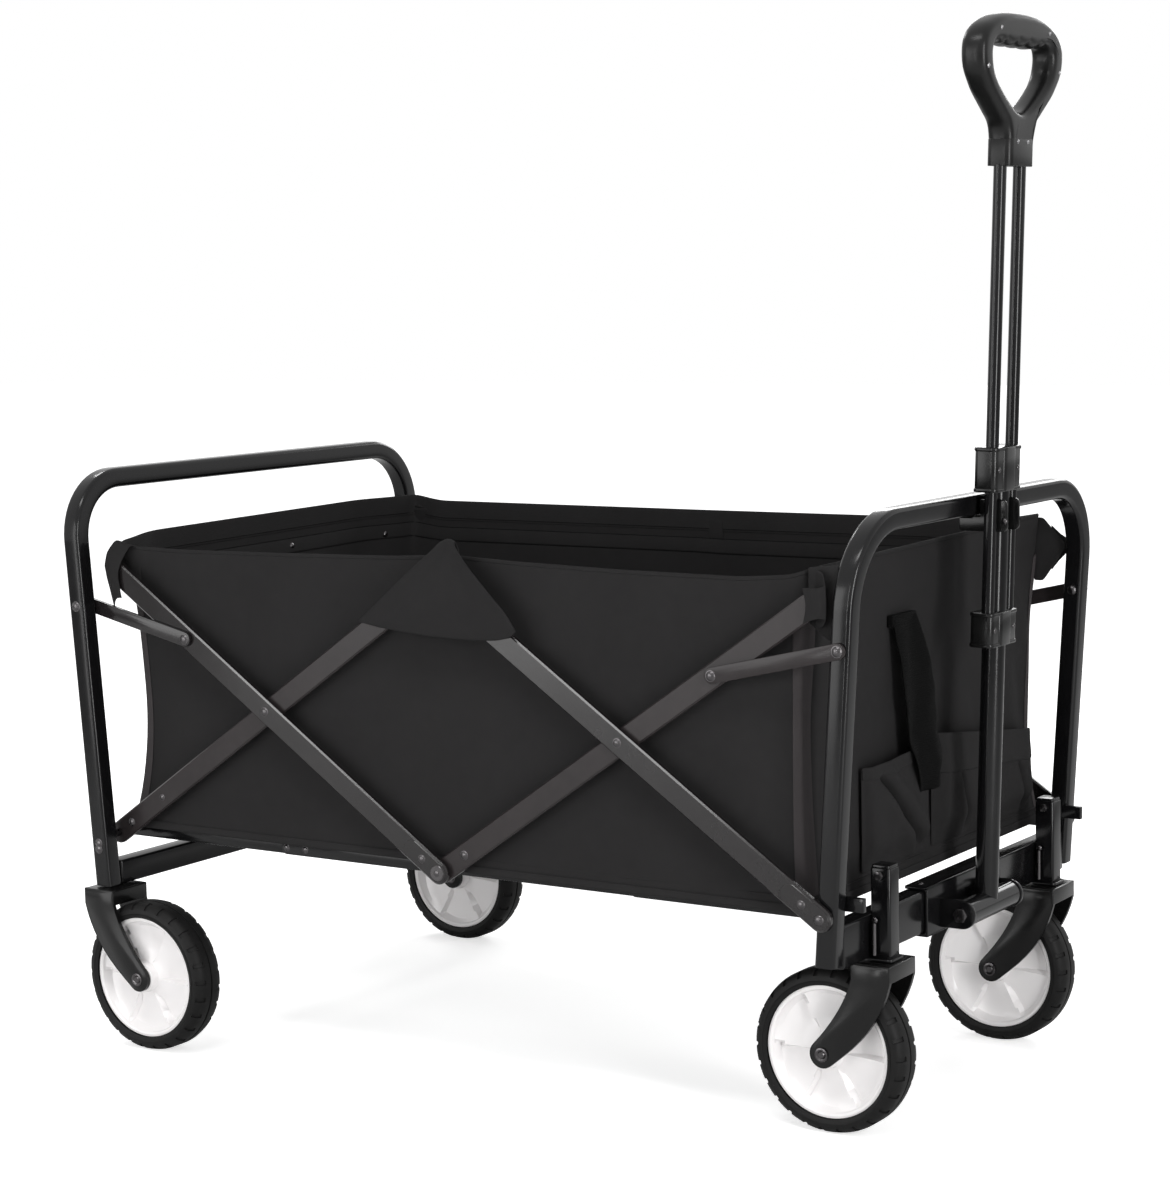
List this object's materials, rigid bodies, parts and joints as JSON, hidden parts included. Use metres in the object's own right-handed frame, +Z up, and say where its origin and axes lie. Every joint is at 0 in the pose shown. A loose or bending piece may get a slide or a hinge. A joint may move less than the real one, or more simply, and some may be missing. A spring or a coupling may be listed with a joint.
{
  "type": "wagon with pull handle",
  "caption": "Folding four-wheeled utility wagon with an open fabric basket, scissor side frames, swivel front wheels and a telescopic pull handle.",
  "frame": {"origin": "on the floor, under the centre of the open wagon's bounding box with the handle upright", "axes": "+X towards the pull handle (the front), +Y to the left, +Z up"},
  "size_m": [0.9456, 0.602, 1.0156],
  "materials": {
    "black_metal": "glossy black powder coat",
    "grey_metal": "satin dark grey powder coat",
    "black_plastic": "satin moulded",
    "wheel_plastic": "white moulded",
    "tyre": "matt rubber",
    "steel": "zinc plated",
    "fabric": "matt woven polyester",
    "board": "fabric-covered board"
  },
  "bodies": {
    "front_frame": {"front_frame_tube": "black_metal", "front_cross_tube": "black_metal", "caster_post_right": "black_metal", "caster_post_left": "black_metal", "handle_bracket": "black_metal", "handle_clip": "black_plastic", "handle_pivot_bolt": "steel"},
    "rear_frame": {"rear_frame_tube": "black_metal", "rear_cross_tube": "black_metal", "rear_right_fork": "black_metal", "rear_left_fork": "black_metal", "rear_right_axle": "steel", "rear_left_axle": "steel"},
    "bar_front_lower_right": {"bar_front_lower_right": "black_metal"},
    "bar_front_upper_right": {"bar_front_upper_right": "grey_metal"},
    "bar_rear_upper_right": {"bar_rear_upper_right": "black_metal"},
    "bar_rear_lower_right": {"bar_rear_lower_right": "grey_metal"},
    "corner_link_front_right": {"corner_link_front_right": "grey_metal"},
    "corner_link_rear_right": {"corner_link_rear_right": "grey_metal"},
    "rail_front_foot_right": {"rail_front_foot_right": "black_metal"},
    "rail_front_hub_right": {"rail_front_hub_right": "black_metal"},
    "rail_rear_hub_right": {"rail_rear_hub_right": "black_metal"},
    "rail_rear_foot_right": {"rail_rear_foot_right": "black_metal"},
    "bar_front_lower_left": {"bar_front_lower_left": "black_metal"},
    "bar_front_upper_left": {"bar_front_upper_left": "grey_metal"},
    "bar_rear_upper_left": {"bar_rear_upper_left": "black_metal"},
    "bar_rear_lower_left": {"bar_rear_lower_left": "grey_metal"},
    "corner_link_front_left": {"corner_link_front_left": "grey_metal"},
    "corner_link_rear_left": {"corner_link_rear_left": "grey_metal"},
    "rail_front_foot_left": {"rail_front_foot_left": "black_metal"},
    "rail_front_hub_left": {"rail_front_hub_left": "black_metal"},
    "rail_rear_hub_left": {"rail_rear_hub_left": "black_metal"},
    "rail_rear_foot_left": {"rail_rear_foot_left": "black_metal"},
    "basket": {"basket": "fabric", "floor_mat": "board", "pocket_right": "fabric", "pocket_left": "fabric", "pull_strap": "fabric"},
    "caster_right": {"front_right_fork": "black_metal", "front_right_axle": "steel", "kingpin_right": "steel"},
    "front_wheel_right": {"front_right_tyre": "tyre", "front_right_hub": "wheel_plastic"},
    "caster_left": {"front_left_fork": "black_metal", "front_left_axle": "steel", "kingpin_left": "steel"},
    "front_wheel_left": {"front_left_tyre": "tyre", "front_left_hub": "wheel_plastic"},
    "rear_wheel_right": {"rear_right_tyre": "tyre", "rear_right_hub": "wheel_plastic"},
    "rear_wheel_left": {"rear_left_tyre": "tyre", "rear_left_hub": "wheel_plastic"},
    "handle_lower": {"handle_tube": "black_metal", "handle_top_collar": "black_plastic"},
    "handle_upper": {"handle_slide_collar": "black_plastic", "handle_rod_right": "black_metal", "handle_rod_left": "black_metal", "handle_grip": "black_plastic"}
  },
  "joints": [
    {"name": "fold", "type": "hinge", "parent": "front_frame", "child": "bar_front_lower_right", "pos_m": [0.39424, -0.26245, 0.218], "axis": [0, 1, 0], "range_deg": [0, 40]},
    {"name": "front_crossing_right", "type": "hinge", "parent": "bar_front_lower_right", "child": "bar_front_upper_right", "pos_m": [0.18674, -0.25585, 0.36], "axis": [0, 1, 0], "range_deg": [-80.01, 0]},
    {"name": "hub_right", "type": "hinge", "parent": "bar_front_upper_right", "child": "bar_rear_upper_right", "pos_m": [-0.02076, -0.26245, 0.218], "axis": [0, 1, 0], "range_deg": [0, 80.01]},
    {"name": "rear_crossing_right", "type": "hinge", "parent": "bar_rear_upper_right", "child": "bar_rear_lower_right", "pos_m": [-0.22826, -0.25585, 0.36], "axis": [0, 1, 0], "range_deg": [-80.01, 0]},
    {"name": "rear_foot_right", "type": "hinge", "parent": "bar_rear_lower_right", "child": "rear_frame", "pos_m": [-0.43576, -0.25585, 0.218], "axis": [0, 1, 0], "range_deg": [0, 40.01]},
    {"name": "corner_link_front_right_turn", "type": "hinge", "parent": "front_frame", "child": "corner_link_front_right", "pos_m": [0.41274, -0.261, 0.45653], "axis": [0, 1, 0], "range_deg": [0, 78.41]},
    {"name": "corner_link_rear_right_turn", "type": "hinge", "parent": "rear_frame", "child": "corner_link_rear_right", "pos_m": [-0.45349, -0.2678, 0.45692], "axis": [0, 1, 0], "range_deg": [-78.89, 0]},
    {"name": "rail_front_foot_right_turn", "type": "hinge", "parent": "front_frame", "child": "rail_front_foot_right", "pos_m": [0.39424, -0.237, 0.218], "axis": [0, 1, 0], "range_deg": [0, 70.98]},
    {"name": "rail_front_hub_right_turn", "type": "hinge", "parent": "bar_front_upper_right", "child": "rail_front_hub_right", "pos_m": [-0.02076, -0.237, 0.218], "axis": [0, 1, 0], "range_deg": [-30.98, 0]},
    {"name": "rail_rear_hub_right_turn", "type": "hinge", "parent": "bar_rear_upper_right", "child": "rail_rear_hub_right", "pos_m": [-0.02076, -0.237, 0.218], "axis": [0, 1, 0], "range_deg": [0, 30.98]},
    {"name": "rail_rear_foot_right_turn", "type": "hinge", "parent": "rear_frame", "child": "rail_rear_foot_right", "pos_m": [-0.43576, -0.237, 0.218], "axis": [0, 1, 0], "range_deg": [-70.98, 0]},
    {"name": "front_foot_left", "type": "hinge", "parent": "front_frame", "child": "bar_front_lower_left", "pos_m": [0.39424, 0.26245, 0.218], "axis": [0, 1, 0], "range_deg": [0, 40.01]},
    {"name": "front_crossing_left", "type": "hinge", "parent": "bar_front_lower_left", "child": "bar_front_upper_left", "pos_m": [0.18674, 0.25585, 0.36], "axis": [0, 1, 0], "range_deg": [-80.01, 0]},
    {"name": "hub_left", "type": "hinge", "parent": "bar_front_upper_left", "child": "bar_rear_upper_left", "pos_m": [-0.02076, 0.26245, 0.218], "axis": [0, 1, 0], "range_deg": [0, 80.01]},
    {"name": "rear_crossing_left", "type": "hinge", "parent": "bar_rear_upper_left", "child": "bar_rear_lower_left", "pos_m": [-0.22826, 0.25585, 0.36], "axis": [0, 1, 0], "range_deg": [-80.01, 0]},
    {"name": "corner_link_front_left_turn", "type": "hinge", "parent": "front_frame", "child": "corner_link_front_left", "pos_m": [0.41274, 0.261, 0.45653], "axis": [0, 1, 0], "range_deg": [0, 78.41]},
    {"name": "corner_link_rear_left_turn", "type": "hinge", "parent": "rear_frame", "child": "corner_link_rear_left", "pos_m": [-0.45349, 0.2678, 0.45692], "axis": [0, 1, 0], "range_deg": [-78.89, 0]},
    {"name": "rail_front_foot_left_turn", "type": "hinge", "parent": "front_frame", "child": "rail_front_foot_left", "pos_m": [0.39424, 0.237, 0.218], "axis": [0, 1, 0], "range_deg": [0, 70.98]},
    {"name": "rail_front_hub_left_turn", "type": "hinge", "parent": "bar_front_upper_left", "child": "rail_front_hub_left", "pos_m": [-0.02076, 0.237, 0.218], "axis": [0, 1, 0], "range_deg": [-30.98, 0]},
    {"name": "rail_rear_hub_left_turn", "type": "hinge", "parent": "bar_rear_upper_left", "child": "rail_rear_hub_left", "pos_m": [-0.02076, 0.237, 0.218], "axis": [0, 1, 0], "range_deg": [0, 30.98]},
    {"name": "rail_rear_foot_left_turn", "type": "hinge", "parent": "rear_frame", "child": "rail_rear_foot_left", "pos_m": [-0.43576, 0.237, 0.218], "axis": [0, 1, 0], "range_deg": [-70.98, 0]},
    {"name": "basket_lift", "type": "slide", "parent": "front_frame", "child": "basket", "axis": [0, 0, 1], "range_m": [0, 0.2005], "deforming": ["basket", "floor_mat"]},
    {"name": "caster_swivel_right", "type": "hinge", "parent": "front_frame", "child": "caster_right", "pos_m": [0.41384, -0.178, 0.166], "axis": [0, 0, 1], "continuous": true},
    {"name": "front_wheel_spin_right", "type": "hinge", "parent": "caster_right", "child": "front_wheel_right", "pos_m": [0.36184, -0.178, 0.077], "axis": [0, 1, 0], "continuous": true},
    {"name": "caster_swivel_left", "type": "hinge", "parent": "front_frame", "child": "caster_left", "pos_m": [0.41384, 0.178, 0.166], "axis": [0, 0, 1], "continuous": true},
    {"name": "front_wheel_spin_left", "type": "hinge", "parent": "caster_left", "child": "front_wheel_left", "pos_m": [0.36184, 0.178, 0.077], "axis": [0, 1, 0], "continuous": true},
    {"name": "rear_wheel_spin_right", "type": "hinge", "parent": "rear_frame", "child": "rear_wheel_right", "pos_m": [-0.38112, -0.2728, 0.077], "axis": [0, 1, 0], "continuous": true},
    {"name": "rear_wheel_spin_left", "type": "hinge", "parent": "rear_frame", "child": "rear_wheel_left", "pos_m": [-0.38112, 0.2728, 0.077], "axis": [0, 1, 0], "continuous": true},
    {"name": "handle_tilt", "type": "hinge", "parent": "front_frame", "child": "handle_lower", "pos_m": [0.42964, 0, 0.183], "axis": [0, 1, 0], "range_deg": [0, 95]},
    {"name": "handle_slide", "type": "slide", "parent": "handle_lower", "child": "handle_upper", "axis": [-0.0335, 0, -0.9994], "range_m": [0, 0.22]}
  ],
  "couplings": [
    {"joint": "front_crossing_right", "follows": "fold", "ratio": -2},
    {"joint": "hub_right", "follows": "fold", "ratio": 2},
    {"joint": "rear_crossing_right", "follows": "fold", "ratio": -2},
    {"joint": "rear_foot_right", "follows": "fold", "ratio": 1},
    {"joint": "corner_link_front_right_turn", "follows": "fold", "ratio": 1.9599},
    {"joint": "corner_link_rear_right_turn", "follows": "fold", "ratio": -1.972},
    {"joint": "rail_front_foot_right_turn", "follows": "fold", "ratio": 1.7741},
    {"joint": "rail_front_hub_right_turn", "follows": "fold", "ratio": -0.7741},
    {"joint": "rail_rear_hub_right_turn", "follows": "fold", "ratio": 0.7741},
    {"joint": "rail_rear_foot_right_turn", "follows": "fold", "ratio": -1.7741},
    {"joint": "front_foot_left", "follows": "fold", "ratio": 1},
    {"joint": "front_crossing_left", "follows": "fold", "ratio": -2},
    {"joint": "hub_left", "follows": "fold", "ratio": 2},
    {"joint": "rear_crossing_left", "follows": "fold", "ratio": -2},
    {"joint": "corner_link_front_left_turn", "follows": "fold", "ratio": 1.9599},
    {"joint": "corner_link_rear_left_turn", "follows": "fold", "ratio": -1.972},
    {"joint": "rail_front_foot_left_turn", "follows": "fold", "ratio": 1.7741},
    {"joint": "rail_front_hub_left_turn", "follows": "fold", "ratio": -0.7741},
    {"joint": "rail_rear_hub_left_turn", "follows": "fold", "ratio": 0.7741},
    {"joint": "rail_rear_foot_left_turn", "follows": "fold", "ratio": -1.7741},
    {"joint": "basket_lift", "follows": "fold", "m_per_rad": 0.28693}
  ]
}
